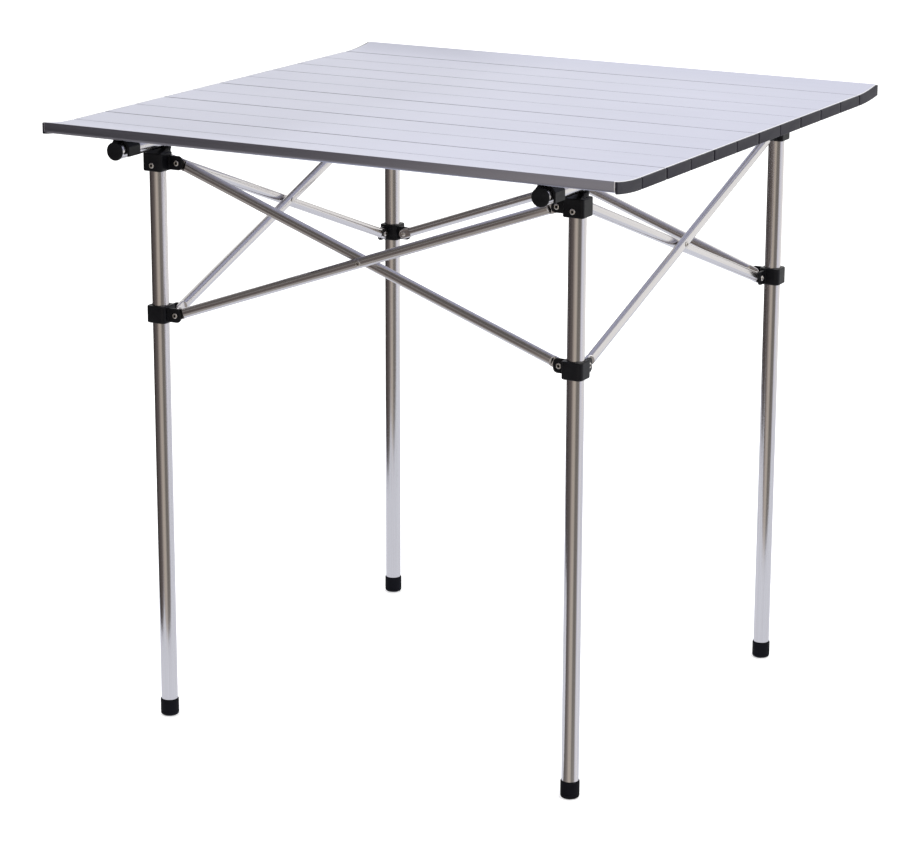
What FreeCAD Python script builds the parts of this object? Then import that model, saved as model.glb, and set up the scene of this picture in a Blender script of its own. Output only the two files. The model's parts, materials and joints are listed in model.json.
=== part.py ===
import FreeCAD, Part
import math
import os
from FreeCAD import Vector

# Roll-top folding side table, about 700 x 706 x 705 mm, in millimetres.
# Origin: on the floor under the middle of the table. +X runs along the slats, +Y to the rear,
# +Z up. The front edge of the top is towards -Y.

# ---- driving dimensions of the table --------------------------------------------------------
top_length = 700.0            # along the slats, end caps included
top_depth = 706.0             # across the slats
top_height = 698.0            # flat surface of the top above the floor
leg_offset = 261.0            # leg axes are this far from the middle, in X and in Y
rail_offset = 260.0           # rail axes are this far from the middle, in X

# ---- slats ----------------------------------------------------------------------------------
slat_count = 12
wide_gap = 1.7
middle_gap = 1.1
narrow_gap = 0.6
joint_gaps = [narrow_gap, wide_gap, narrow_gap, wide_gap, narrow_gap, wide_gap,
              narrow_gap, middle_gap, middle_gap, narrow_gap, wide_gap]
slat_width = (top_depth - sum(joint_gaps)) / slat_count
slat_thickness = 11.2
slat_wall = 0.9
slat_edge_radius = 0.4
edge_bend_radius = 330.0      # the tops of the front and rear slats curl up on this radius
edge_rise = edge_bend_radius - math.sqrt(edge_bend_radius ** 2 - slat_width ** 2)
edge_thickness = 11.8         # of the front and rear slats at their outer edges
underside_rise = edge_rise - (edge_thickness - slat_thickness)
underside_radius = (slat_width ** 2 + underside_rise ** 2) / (2 * underside_rise)
underside_centre_height = top_height - slat_thickness + underside_radius

# ---- plastic end caps of the slats ----------------------------------------------------------
cap_flange = 2.6
cap_inset = 0.4               # the flange stands this far inside the slat's outline
cap_thickness = 12.8          # with the inset, from the top face down
cap_corner = 1.5
cap_rim_chamfer = 0.5
cap_plug_length = 6.0
cap_plug_clearance = 0.1

# ---- elastic cords through the slats --------------------------------------------------------
cord_offset = 170.0           # each cord is this far from the middle, in X
cord_radius = 1.4
cord_hole_radius = 1.9
cord_end_length = 22.0
knot_radius = 3.2
knot_length = 5.0
cord_end_gap = 0.05           # between the lengths of cord of neighbouring slats

# ---- rails ----------------------------------------------------------------------------------
rail_radius = 9.5
rail_wall = 1.2
rail_length = 686.0
rail_cap_radius = 10.2
rail_cap_flange = 2.5
rail_cap_round = 1.2
rail_cap_plug = 12.0
rail_seat_gap = 0.3           # between the rails and the undersides of the slats
rail_axis_height = top_height - slat_thickness - rail_seat_gap - rail_radius
rail_bottom = rail_axis_height - rail_radius

# ---- clips under the front and rear slats ---------------------------------------------------
clip_length = 22.0
clip_outer_end = 335.0        # the clip's outer end is this far from the middle, in Y
clip_half_width = 12.4
clip_base_half_width = 8.5
clip_inner_radius = 9.8
clip_arm_depth = 6.5          # the arms reach this far below the rail's axis
clip_shoulder_drop = 5.5
clip_foot_round = 0.8

# ---- legs and feet --------------------------------------------------------------------------
leg_radius = 9.5
leg_wall = 1.1
leg_bottom = 4.0
leg_top = 661.0
foot_radius = 10.6
foot_height = 20.0
foot_bottom_round = 2.6
foot_top_round = 0.8

# ---- braces, in the plane of one side of the frame ------------------------------------------
# n is the distance outwards from the plane of the leg axes, negative towards the middle.
pin_inset = 22.0              # pins are this far from the leg axes, along the side
top_pin_height = 652.0
slider_height = 480.0
brace_height = 11.6
brace_thickness = 9.6
brace_wall = 1.0
outer_brace_n = 1.0
inner_brace_n = -9.0
outer_end_shift = 1.0         # of an outer brace's pressed ends, towards the middle
flat_thickness = 4.4          # of the pressed ends
flat_end_radius = 6.3
flat_length = 9.5             # beyond the pin, before the tube swells to its full section
swell_length = 6.5

# ---- rivets ---------------------------------------------------------------------------------
pin_radius = 2.0
pin_hole_radius = 2.05
head_radius = 3.3
head_height = 1.3
head_round = 0.9
tail_radius = 3.0
tail_height = 1.0
rivet_bore_radius = 1.4
rivet_bore_depth = 3.0
turning_gap = 0.15            # beside each end that turns on a rivet

# ---- leg brackets ---------------------------------------------------------------------------
bracket_width = 24.6
bracket_bottom = 643.2
bracket_top = 663.5
bracket_corner = 3.2
block_rim_chamfer = 0.8
ear_thickness = 2.8
ear_half_height = 8.0
ear_reach = 7.0               # beyond the pin
ear_corner = 5.0
fixing_rivet_height = 650.0
gusset_tip = 29.0             # of the outer ear, from the leg axis
gusset_low = 645.4
gusset_top = 664.8            # where the gusset runs into the cradle
# The gusset's blunt tip: distances back from the tip, with heights from the pin or gusset_low.
gusset_tip_outline = [(5.5, gusset_low), (1.5, gusset_low + 1.2), (0.0, top_pin_height - 2.6),
                      (0.6, top_pin_height + 1.8), (3.4, top_pin_height + 5.2)]
stud_inset = 15.0             # rail studs are this far nearer the middle than the legs, in Y
neck_radius = 5.6
neck_bottom = 658.9
neck_top = 664.7
cradle_half_width = 9.5       # of the wedge that rises under the rail
cradle_top = 667.0
cradle_end = 7.5              # clear of the stud's collar while it lifts out and the frame folds
socket_depth = 4.2            # a 90 degree cone, as wide across its mouth as twice its depth
cone_lift = 0.4               # the stud's cone stands this much above the socket's
cone_tip_radius = 0.6

# ---- rail studs -----------------------------------------------------------------------------
stud_collar_radius = 6.2
stud_collar_gap = 0.3
stud_shank_radius = 3.6
stud_shank_top = rail_bottom + 9.0

# ---- sliders --------------------------------------------------------------------------------
slider_width = 25.0
slider_corner = 5.5
slider_length = 19.6
slider_bore_radius = 9.8

# ---- fold -----------------------------------------------------------------------------------
pin_span = 2.0 * (leg_offset - pin_inset)
pin_rise = top_pin_height - slider_height
brace_pitch = math.hypot(pin_span, pin_rise)
brace_angle = math.degrees(math.atan2(pin_rise, pin_span))

corner_names = ["front_right", "rear_right", "rear_left", "front_left"]
side_names = ["front", "right", "rear", "left"]
x_axis = Vector(1, 0, 0)
y_axis = Vector(0, 1, 0)
z_axis = Vector(0, 0, 1)
cut_margin = 1.0              # cutting shapes stand this far out of what they cut
long_cut = 20.0               # half length of the bars that cut right through a piece


# ---- helpers --------------------------------------------------------------------------------
def fuse_all(shapes):
    whole = shapes[0]
    for shape in shapes[1:]:
        whole = whole.fuse(shape)
    return whole.removeSplitter()


def group(shapes):
    """Separate solids that share one node."""
    return Part.makeCompound(shapes)


def bar(low, high):
    size = high - low
    return Part.makeBox(size.x, size.y, size.z, low)


def rod(radius, start, end):
    along = end - start
    return Part.makeCylinder(radius, along.Length, start, along)


def edges_where(shape, test):
    return [edge for edge in shape.Edges if test(edge)]


def edges_along(shape, direction, length):
    def runs_along(edge):
        first, last = edge.Vertexes[0].Point, edge.Vertexes[-1].Point
        straight = abs((last - first).Length - length) < 0.01
        return straight and abs((last - first).dot(direction)) > 0.999 * length
    return edges_where(shape, runs_along)


def edges_at_height(shape, height):
    def at_height(edge):
        return all(abs(v.Point.z - height) < 0.01 for v in edge.Vertexes)
    return edges_where(shape, at_height)


def turned(shape, quarter_turns):
    """The shape turned about the table's upright middle axis."""
    copy = shape.copy()
    copy.rotate(Vector(0, 0, 0), z_axis, 90.0 * quarter_turns)
    return copy


def extruded_outline(points, direction):
    """A closed outline of straight lines, extruded."""
    return Part.Face(Part.makePolygon(points + [points[0]])).extrude(direction)


# ---- slats and their end caps ---------------------------------------------------------------
def slat_front_edge(index):
    """Y of the front edge of the slat, counted from 0 at the front."""
    return -top_depth / 2 + index * slat_width + sum(joint_gaps[:index])


def bent_bar(joint_y, rearward, x_low, x_high, inset, depth):
    """A bar with the section of an edge slat: curled up from its joint, upright at its outer edge."""
    top = (edge_bend_radius + inset, top_height + edge_bend_radius)
    underside = (underside_radius + depth - slat_thickness - inset, underside_centre_height)

    def point(arc, across):
        radius, centre_height = arc
        height = centre_height - math.sqrt(radius ** 2 - across ** 2)
        return Vector(x_low, joint_y + (across if rearward else -across), height)

    def curve(arc):
        places = (inset, slat_width / 2, slat_width - inset)
        return Part.Arc(*[point(arc, across) for across in places]).toShape()

    def upright(across):
        return Part.makeLine(point(top, across), point(underside, across))
    lines = [curve(top), upright(slat_width - inset), curve(underside), upright(inset)]
    outline = Part.Wire(Part.__sortEdges__(lines))
    return Part.Face(outline).extrude(Vector(x_high - x_low, 0, 0))


def slat_bar(index, x_low, x_high, inset, depth):
    """A bar with the slat's section, drawn in by inset all round."""
    front = slat_front_edge(index)
    if index == 0:
        return bent_bar(front + slat_width, False, x_low, x_high, inset, depth)
    if index == slat_count - 1:
        return bent_bar(front, True, x_low, x_high, inset, depth)
    low = Vector(x_low, front + inset, top_height - depth + inset)
    high = Vector(x_high, front + slat_width - inset, top_height - inset)
    return bar(low, high)


def slat_shell(index):
    """The hollow aluminium extrusion, with holes in its sides for the cords."""
    half = top_length / 2 - cap_flange
    shell = slat_bar(index, -half, half, 0.0, slat_thickness)
    shell = shell.makeFillet(slat_edge_radius, edges_along(shell, x_axis, 2 * half))
    shell = shell.cut(slat_bar(index, -half, half, slat_wall, slat_thickness))
    for x in (-cord_offset, cord_offset):
        front, rear = cord_span(index)
        height = top_height - slat_thickness / 2
        hole_start = Vector(x, front - cut_margin, height)
        hole_end = Vector(x, rear + cut_margin, height)
        shell = shell.cut(rod(cord_hole_radius, hole_start, hole_end))
    return shell


def slat_cap(index, side):
    """A plastic cap: a flange over the slat's end and a plug inside it."""
    flange_start = top_length / 2 - cap_flange
    low, high = sorted((side * flange_start, side * top_length / 2))
    flange = slat_bar(index, low, high, cap_inset, cap_thickness)
    flange = flange.makeFillet(cap_corner, edges_along(flange, x_axis, cap_flange))

    def on_outer_face(edge):
        return all(abs(v.Point.x - side * top_length / 2) < 0.01 for v in edge.Vertexes)
    flange = flange.makeChamfer(cap_rim_chamfer, edges_where(flange, on_outer_face))
    low, high = sorted((side * flange_start, side * (flange_start - cap_plug_length)))
    plug = slat_bar(index, low, high, slat_wall + cap_plug_clearance, slat_thickness)
    return flange.fuse(plug)


def cord_span(index):
    """Y where the slat's own length of cord starts and ends."""
    front = slat_front_edge(index)
    rear = front + slat_width
    if index == 0:
        front = rear - cord_end_length
    else:
        front -= joint_gaps[index - 1] / 2 - cord_end_gap / 2
    if index == slat_count - 1:
        rear = slat_front_edge(index) + cord_end_length
    else:
        rear += joint_gaps[index] / 2 - cord_end_gap / 2
    return front, rear


def slat_cord(index, x):
    """The length of elastic cord that lies in one slat, with its knot in an edge slat."""
    front, rear = cord_span(index)
    height = top_height - slat_thickness / 2
    start = Vector(x, front, height)
    end = Vector(x, rear, height)
    knot = Vector(0, knot_length, 0)
    cord = rod(cord_radius, start, end)
    if index == 0:
        return cord.fuse(rod(knot_radius, start, start + knot))
    if index == slat_count - 1:
        return cord.fuse(rod(knot_radius, end - knot, end))
    return cord


def slat(index):
    pieces = [slat_shell(index)]
    pieces += [slat_cap(index, side) for side in (-1, 1)]
    pieces += [slat_cord(index, x) for x in (-cord_offset, cord_offset)]
    return group(pieces)


# ---- clips ----------------------------------------------------------------------------------
def clip(x, end):
    """An upturned U over a rail, with sloping shoulders; its top meets the curled slat."""
    y_low, y_high = sorted((end * clip_outer_end, end * (clip_outer_end - clip_length)))
    roof = top_height
    shoulder = top_height - slat_thickness
    foot = rail_axis_height - clip_arm_depth
    half, base = clip_half_width, clip_base_half_width
    outline = [(-half, foot), (half, foot), (half, shoulder - clip_shoulder_drop), (base, shoulder),
               (base, roof), (-base, roof), (-base, shoulder), (-half, shoulder - clip_shoulder_drop)]
    points = [Vector(x + across, y_low, height) for across, height in outline]
    body = extruded_outline(points, Vector(0, clip_length, 0))
    bore_start = Vector(x, y_low - cut_margin, rail_axis_height)
    bore_end = Vector(x, y_high + cut_margin, rail_axis_height)
    bore = rod(clip_inner_radius, bore_start, bore_end)
    mouth = bar(Vector(x - clip_inner_radius, y_low - cut_margin, foot - cut_margin),
                Vector(x + clip_inner_radius, y_high + cut_margin, rail_axis_height))
    joint_y = end * (top_depth / 2 - slat_width)
    centre = Vector(x - long_cut, joint_y, underside_centre_height)
    underside = Part.makeCylinder(underside_radius, 2 * long_cut, centre, x_axis)
    body = body.cut(bore).cut(mouth).cut(underside)
    return body.makeFillet(clip_foot_round, edges_along(body, y_axis, clip_length)[:2])


def clips(end):
    return group([clip(x, end) for x in (-rail_offset, rail_offset)])


# ---- rails ----------------------------------------------------------------------------------
def rail(x):
    start = Vector(x, -rail_length / 2, rail_axis_height)
    end = Vector(x, rail_length / 2, rail_axis_height)
    tube = rod(rail_radius, start, end).cut(rod(rail_radius - rail_wall, start, end))
    for y in stud_places():
        hole_low = Vector(x, y, rail_bottom - cut_margin)
        tube = tube.cut(rod(stud_shank_radius, hole_low, Vector(x, y, rail_axis_height)))
    return tube


def rail_cap(x, end):
    face = end * rail_length / 2
    flange = rod(rail_cap_radius, Vector(x, face, rail_axis_height),
                 Vector(x, face + end * rail_cap_flange, rail_axis_height))
    outer = face + end * rail_cap_flange

    def round_the_outer_face(edge):
        return edge.Closed and abs(edge.CenterOfMass.y - outer) < 0.01
    flange = flange.makeFillet(rail_cap_round, edges_where(flange, round_the_outer_face))
    plug = rod(rail_radius - rail_wall, Vector(x, face, rail_axis_height),
               Vector(x, face - end * rail_cap_plug, rail_axis_height))
    return flange.fuse(plug)


def stud_places():
    near = leg_offset - stud_inset
    return (-near, near)


def rail_stud(x, y):
    """A peg through the rail's underside, with a collar and a cone that seats in a leg bracket."""
    collar_low = neck_top + stud_collar_gap
    shank = rod(stud_shank_radius, Vector(x, y, collar_low), Vector(x, y, stud_shank_top))
    collar = rod(stud_collar_radius, Vector(x, y, collar_low), Vector(x, y, rail_axis_height))
    rail_start = Vector(x, y - long_cut, rail_axis_height)
    collar = collar.cut(rod(rail_radius, rail_start, rail_start + y_axis * 2 * long_cut))
    apex = neck_top - socket_depth + cone_lift
    mouth = collar_low - apex
    tip = Vector(x, y, apex + cone_tip_radius)
    cone = Part.makeCone(cone_tip_radius, mouth, mouth - cone_tip_radius, tip, z_axis)
    return fuse_all([shank, collar, cone])


# ---- legs and feet, drawn at the front right corner -----------------------------------------
def at_leg(x, y, z):
    """A point given from the front right leg's axis."""
    return Vector(leg_offset + x, -leg_offset + y, z)


def fixing_rivet_direction(corner):
    """Fixing rivets face the front or the rear, whichever way the corner is turned."""
    return Vector(1, 0, 0) if corner % 2 else Vector(0, -1, 0)


def fixing_rivet_hole(corner):
    centre = at_leg(0, 0, fixing_rivet_height)
    reach = bracket_width / 2 + cut_margin
    return rod(pin_radius, centre, centre + fixing_rivet_direction(corner) * reach)


def leg(corner):
    tube = rod(leg_radius, at_leg(0, 0, leg_bottom), at_leg(0, 0, leg_top))
    tube = tube.cut(rod(leg_radius - leg_wall, at_leg(0, 0, leg_bottom), at_leg(0, 0, leg_top)))
    return tube.cut(fixing_rivet_hole(corner))


def foot():
    cup = rod(foot_radius, at_leg(0, 0, 0), at_leg(0, 0, foot_height))
    cup = cup.makeFillet(foot_bottom_round, edges_at_height(cup, 0.0))
    cup = cup.makeFillet(foot_top_round, edges_at_height(cup, foot_height))
    return cup.cut(rod(leg_radius, at_leg(0, 0, leg_bottom), at_leg(0, 0, foot_height + cut_margin)))


# ---- plastic blocks, drawn at the front right corner ----------------------------------------
# Each has one ear along the front, towards -X, and one along the right side, towards +Y.
def upright_block(width, corner, low, high):
    half = width / 2
    block = bar(at_leg(-half, -half, low), at_leg(half, half, high))
    block = block.makeFillet(corner, edges_along(block, z_axis, high - low))
    rims = edges_at_height(block, low) + edges_at_height(block, high)
    return block.makeChamfer(block_rim_chamfer, rims)


def ear_face_n(outer):
    """n of the ear's inner face, against which the pressed end of the brace turns."""
    middle = outer_brace_n - outer_end_shift if outer else inner_brace_n
    return middle + flat_thickness / 2 + turning_gap


def side_plate(points, n_low, thickness, along_front):
    """A plate in the plane of a side. Points are (distance from the leg axis, height)."""
    if along_front:
        outline = [at_leg(-u, -n_low, z) for u, z in points]
        return extruded_outline(outline, Vector(0, -thickness, 0))
    outline = [at_leg(n_low, u, z) for u, z in points]
    return extruded_outline(outline, Vector(thickness, 0, 0))


def side_rod(radius, u, z, n_start, n_end, along_front):
    """A round bar square to a side, from n_start to n_end."""
    if along_front:
        return rod(radius, at_leg(-u, -n_start, z), at_leg(-u, -n_end, z))
    return rod(radius, at_leg(n_start, u, z), at_leg(n_end, u, z))


def round_ear(outer, z, along_front):
    """A plate from the leg axis past the pin, with rounded corners at its end."""
    n_low = ear_face_n(outer)
    low, high, end = z - ear_half_height, z + ear_half_height, pin_inset + ear_reach
    outline = [(0, low), (end, low), (end, high), (0, high)]
    plate = side_plate(outline, n_low, ear_thickness, along_front)
    across = y_axis if along_front else x_axis
    edge = at_leg(-end, 0, 0).x if along_front else at_leg(0, end, 0).y

    def at_end(side_edge):
        middle = side_edge.CenterOfMass
        return abs((middle.x if along_front else middle.y) - edge) < 0.01
    corners = [e for e in edges_along(plate, across, ear_thickness) if at_end(e)]
    return plate.makeFillet(ear_corner, corners)


def gusset_ear(along_front):
    """The outer ear of a leg bracket, which rises from its blunt tip to the cradle."""
    tip = [(gusset_tip - back, height) for back, height in gusset_tip_outline]
    points = [(0, gusset_low)] + tip + [(cradle_half_width, gusset_top), (0, gusset_top)]
    return side_plate(points, ear_face_n(True), ear_thickness, along_front)


def ear_hole(outer, z, along_front):
    n_low = ear_face_n(outer)
    n_high = n_low + ear_thickness
    return side_rod(pin_radius, pin_inset, z, n_low - cut_margin, n_high + cut_margin, along_front)


def neck_place(corner):
    """The rail stud's place from the leg axis, turned back to the front right corner."""
    world = Vector(rail_offset - leg_offset, stud_inset, 0)
    if corner % 2:
        return Vector(-world.y, -world.x, 0)
    return world


def neck(corner):
    """The raised socket that takes a rail stud, and the cradle that rises to it under the rail."""
    place = neck_place(corner)
    low = at_leg(place.x, place.y, neck_bottom)
    boss = rod(neck_radius, low, at_leg(place.x, place.y, neck_top))
    start = block_rim_chamfer - bracket_width / 2
    wedge = [(start, neck_bottom), (cradle_end, neck_bottom),
             (cradle_end, cradle_top), (start, bracket_top)]
    web = [(0, neck_bottom), (stud_inset, neck_bottom), (stud_inset, neck_top), (0, neck_top)]
    along_front = bool(corner % 2)
    middle = -place.y if along_front else place.x
    cradle = side_plate(wedge, middle - cradle_half_width, 2 * cradle_half_width, along_front)
    joint = side_plate(web, middle - neck_radius, 2 * neck_radius, along_front)
    return fuse_all([boss, cradle, joint])


def socket(corner):
    place = neck_place(corner)
    bottom = at_leg(place.x, place.y, neck_top - socket_depth)
    return Part.makeCone(0.0, socket_depth, socket_depth, bottom, z_axis)


def bracket(corner):
    block = upright_block(bracket_width, bracket_corner, bracket_bottom, bracket_top)
    body = fuse_all([block, gusset_ear(True), round_ear(False, top_pin_height, False), neck(corner)])
    body = body.cut(rod(leg_radius, at_leg(0, 0, bracket_bottom - cut_margin), at_leg(0, 0, leg_top)))
    body = body.cut(ear_hole(True, top_pin_height, True)).cut(ear_hole(False, top_pin_height, False))
    return body.cut(socket(corner)).cut(fixing_rivet_hole(corner))


def slider():
    low = slider_height - slider_length / 2
    block = upright_block(slider_width, slider_corner, low, low + slider_length)
    front_ear = round_ear(False, slider_height, True)
    side_ear = round_ear(True, slider_height, False)
    body = fuse_all([block, front_ear, side_ear])
    bore_low = at_leg(0, 0, low - cut_margin)
    body = body.cut(rod(slider_bore_radius, bore_low, at_leg(0, 0, low + slider_length + cut_margin)))
    return body.cut(ear_hole(False, slider_height, True)).cut(ear_hole(True, slider_height, False))


# ---- rivets ---------------------------------------------------------------------------------
def rivet(head_seat, outwards, length):
    """A hollow rivet: its head lies on head_seat, its shank runs inwards, its tail is rolled over."""
    head = rod(head_radius, head_seat, head_seat + outwards * head_height)
    crown = head_seat + outwards * head_height

    def round_the_crown(edge):
        return edge.Closed and (edge.CenterOfMass - crown).Length < 0.01
    head = head.makeFillet(head_round, edges_where(head, round_the_crown))
    tail_seat = head_seat - outwards * length
    shank = rod(pin_radius, head_seat, tail_seat)
    tail = rod(tail_radius, tail_seat, tail_seat - outwards * tail_height)
    bore = rod(rivet_bore_radius, crown + outwards, crown - outwards * rivet_bore_depth)
    return fuse_all([head, shank, tail]).cut(bore)


def ear_rivet(outer, z, along_front):
    """The rivet through an ear and the pressed brace end behind it."""
    seat_n = ear_face_n(outer) + ear_thickness
    length = ear_thickness + flat_thickness + 2 * turning_gap
    if along_front:
        return rivet(at_leg(-pin_inset, -seat_n, z), Vector(0, -1, 0), length)
    return rivet(at_leg(seat_n, pin_inset, z), Vector(1, 0, 0), length)


def fixing_rivet(corner):
    """The rivet that holds a bracket on its leg, ending inside the tube."""
    outwards = fixing_rivet_direction(corner)
    seat = at_leg(0, 0, fixing_rivet_height) + outwards * (bracket_width / 2)
    inner_wall = math.sqrt((leg_radius - leg_wall) ** 2 - tail_radius ** 2)
    return rivet(seat, outwards, bracket_width / 2 - inner_wall)


def bracket_rivets(corner):
    return group([ear_rivet(True, top_pin_height, True), ear_rivet(False, top_pin_height, False),
                  fixing_rivet(corner)])


def slider_rivets():
    return group([ear_rivet(False, slider_height, True), ear_rivet(True, slider_height, False)])


def crossing_rivet():
    """The rivet through both braces where they cross, in the middle of the front."""
    head_n = outer_brace_n + brace_thickness / 2
    length = outer_brace_n - inner_brace_n + brace_thickness + turning_gap
    height = (top_pin_height + slider_height) / 2
    return rivet(Vector(0, -leg_offset - head_n, height), Vector(0, -1, 0), length)


# ---- braces, drawn in the front side --------------------------------------------------------
def oval(along, height, thickness):
    """A closed oval across the brace, which runs along +X: flat sides and half-round edges."""
    radius = thickness / 2
    rise = height / 2 - radius

    def point(y, z):
        return Vector(along, y, z)
    right = Part.LineSegment(point(radius, -rise), point(radius, rise)).toShape()
    top = Part.Arc(point(radius, rise), point(0, rise + radius), point(-radius, rise)).toShape()
    left = Part.LineSegment(point(-radius, rise), point(-radius, -rise)).toShape()
    bottom = Part.Arc(point(-radius, -rise), point(0, -rise - radius), point(radius, -rise)).toShape()
    return Part.Wire([right, top, left, bottom])


def swelling(end, flat_shift):
    """The stretch where a pressed end opens out to the tube, towards the middle of the brace."""
    flat = oval(0, 2 * flat_end_radius, flat_thickness)
    flat.translate(Vector(end * (brace_pitch / 2 - flat_length), flat_shift, 0))
    full = oval(end * (brace_pitch / 2 - flat_length - swell_length), brace_height, brace_thickness)
    return Part.makeLoft([flat, full], True)


def pressed_end(end, flat_shift):
    """The flat plate round a pin hole, with a round end."""
    pin = end * brace_pitch / 2
    start = end * (brace_pitch / 2 - flat_length)
    y_low = flat_shift - flat_thickness / 2
    low = Vector(min(pin, start), y_low, -flat_end_radius)
    high = Vector(max(pin, start), y_low + flat_thickness, flat_end_radius)
    disc = rod(flat_end_radius, Vector(pin, y_low, 0), Vector(pin, y_low + flat_thickness, 0))
    return bar(low, high).fuse(disc)


def brace(outer):
    """A tube from the slider on one side to the leg bracket on the other, riveted at mid-length."""
    flat_shift = outer_end_shift if outer else 0.0
    half = brace_pitch / 2 - flat_length - swell_length
    tube = Part.Face(oval(-half, brace_height, brace_thickness)).extrude(Vector(2 * half, 0, 0))
    hollow = Part.Face(oval(-half, brace_height - 2 * brace_wall, brace_thickness - 2 * brace_wall))
    tube = tube.cut(hollow.extrude(Vector(2 * half, 0, 0)))
    pieces = [tube]
    for end in (-1, 1):
        pieces += [swelling(end, flat_shift), pressed_end(end, flat_shift)]
    body = fuse_all(pieces)
    crossing_radius = pin_radius if outer else pin_hole_radius
    body = body.cut(rod(crossing_radius, Vector(0, -long_cut, 0), Vector(0, long_cut, 0)))
    for end in (-1, 1):
        pin = end * brace_pitch / 2
        pin_hole = rod(pin_hole_radius, Vector(pin, -long_cut, 0), Vector(pin, long_cut, 0))
        body = body.cut(pin_hole)
    lean = -brace_angle if outer else brace_angle
    body.rotate(Vector(0, 0, 0), y_axis, lean)
    n = outer_brace_n if outer else inner_brace_n
    body.translate(Vector(0, -leg_offset - n, (top_pin_height + slider_height) / 2))
    return body


# ---- the whole table ------------------------------------------------------------------------
def table_nodes():
    nodes = {}
    for corner, name in enumerate(corner_names):
        nodes["leg_" + name] = turned(leg(corner), corner)
        nodes["foot_" + name] = turned(foot(), corner)
        nodes["bracket_" + name] = turned(bracket(corner), corner)
        nodes["bracket_rivets_" + name] = turned(bracket_rivets(corner), corner)
        nodes["slider_" + name] = turned(slider(), corner)
        nodes["slider_rivets_" + name] = turned(slider_rivets(), corner)
    for side, name in enumerate(side_names):
        nodes["brace_" + name + "_outer"] = turned(brace(True), side)
        nodes["brace_" + name + "_inner"] = turned(brace(False), side)
        nodes["crossing_rivet_" + name] = turned(crossing_rivet(), side)
    nodes["rail_left"] = rail(-rail_offset)
    nodes["rail_right"] = rail(rail_offset)
    ends = [(x, end) for x in (-rail_offset, rail_offset) for end in (-1, 1)]
    nodes["rail_caps"] = group([rail_cap(x, end) for x, end in ends])
    studs = [rail_stud(x, y) for x in (-rail_offset, rail_offset) for y in stud_places()]
    nodes["rail_studs"] = group(studs)
    nodes["clips_front"] = clips(-1)
    nodes["clips_rear"] = clips(1)
    for index in range(slat_count):
        nodes["slat_%02d" % (index + 1)] = slat(index)
    return nodes


def write_parts():
    os.makedirs("parts", exist_ok=True)
    for name, shape in table_nodes().items():
        shape.exportStep(os.path.join("parts", name + ".step"))
        print(name, len(shape.Solids), round(shape.Volume / 1000, 2), "cm3", shape.isValid())


write_parts()
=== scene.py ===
import json
import math

import bmesh
import bpy
from mathutils import Matrix, Vector


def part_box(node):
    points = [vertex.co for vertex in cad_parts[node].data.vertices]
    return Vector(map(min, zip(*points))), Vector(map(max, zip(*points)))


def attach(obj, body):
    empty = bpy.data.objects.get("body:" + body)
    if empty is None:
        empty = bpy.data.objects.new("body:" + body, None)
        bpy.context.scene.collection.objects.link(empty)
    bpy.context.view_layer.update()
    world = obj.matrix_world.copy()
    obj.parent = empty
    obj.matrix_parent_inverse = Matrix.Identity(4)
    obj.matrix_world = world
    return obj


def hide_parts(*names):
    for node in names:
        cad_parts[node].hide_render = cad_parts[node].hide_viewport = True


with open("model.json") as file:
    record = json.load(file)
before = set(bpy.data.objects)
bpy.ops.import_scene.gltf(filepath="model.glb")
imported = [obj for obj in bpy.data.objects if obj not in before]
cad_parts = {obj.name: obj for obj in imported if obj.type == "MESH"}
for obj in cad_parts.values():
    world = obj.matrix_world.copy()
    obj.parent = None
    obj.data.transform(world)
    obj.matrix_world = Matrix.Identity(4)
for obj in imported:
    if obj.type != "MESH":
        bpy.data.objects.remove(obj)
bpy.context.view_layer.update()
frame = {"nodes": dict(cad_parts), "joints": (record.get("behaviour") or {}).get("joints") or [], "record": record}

# A roll-top folding side table. Everything is in metres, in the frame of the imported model:
# +X along the slats, +Y to the rear, +Z up, origin on the floor under the middle.

MM = 0.001
X, Y, Z = 0, 1, 2

# ---- meshes ----------------------------------------------------------------------------------
SHARP_ANGLE = 35.0                 # degrees between faces from which an edge is sharp
LEAST_RADIUS = 0.001 * MM
WELD_DISTANCE = 0.001 * MM

# ---- slats and their end caps ----------------------------------------------------------------
SLAT_WALL = 0.9 * MM
SLAT_CORNER = 0.4 * MM
SLAT_THICKNESS = 11.2 * MM
SLAT_END_BEVEL = 0.25 * MM
SLAT_SHARP_ANGLE = 50.0
PAINTED_HIGHLIGHT_END = 1.0 * MM              # the bare cut end of the metal, next to the cap, painted bright as a highlight
EDGE_BEND_RADIUS = 330.0 * MM      # the curl of the front and the rear slat's top face
EDGE_THICKNESS = 11.8 * MM         # their thickness at the free edge
EDGE_LIP_CORNER = 3.0 * MM         # the lower corner of that edge
LEAST_CORNER = 0.1 * MM
CORNER_STEPS = 6
LONG_SIDE_DIVISIONS = 14
CAP_CORNER = 1.5 * MM
CAP_FLANGE = 2.6 * MM
CAP_INSET = 0.4 * MM
CAP_RIM = 0.7 * MM                 # the rounding round the cap's outer face
CAP_RIM_STEPS = 4
CAP_SEAT_BEVEL = (0.2 * MM, 0.3 * MM)    # along X, and inward
CAP_PLUG = 6.0 * MM
CAP_PLUG_BEVEL = 0.4 * MM
CAP_PLUG_CLEARANCE = 0.1 * MM
TOP_FACE_MARGIN = 0.0005 * MM      # how far below the top a point still belongs to the top face

# ---- elastic cords ---------------------------------------------------------------------------
CORD_RADIUS = 1.4 * MM
CORD_OFFSET = 170.0 * MM
CORD_END_LENGTH = 22.0 * MM
CORD_SEGMENTS = 20
# The knot's outline: distance from the cord's end, and radius.
CORD_KNOT = ((0.0, 2.4 * MM), (1.2 * MM, 3.1 * MM), (3.6 * MM, 3.1 * MM), (5.0 * MM, CORD_RADIUS))

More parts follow.
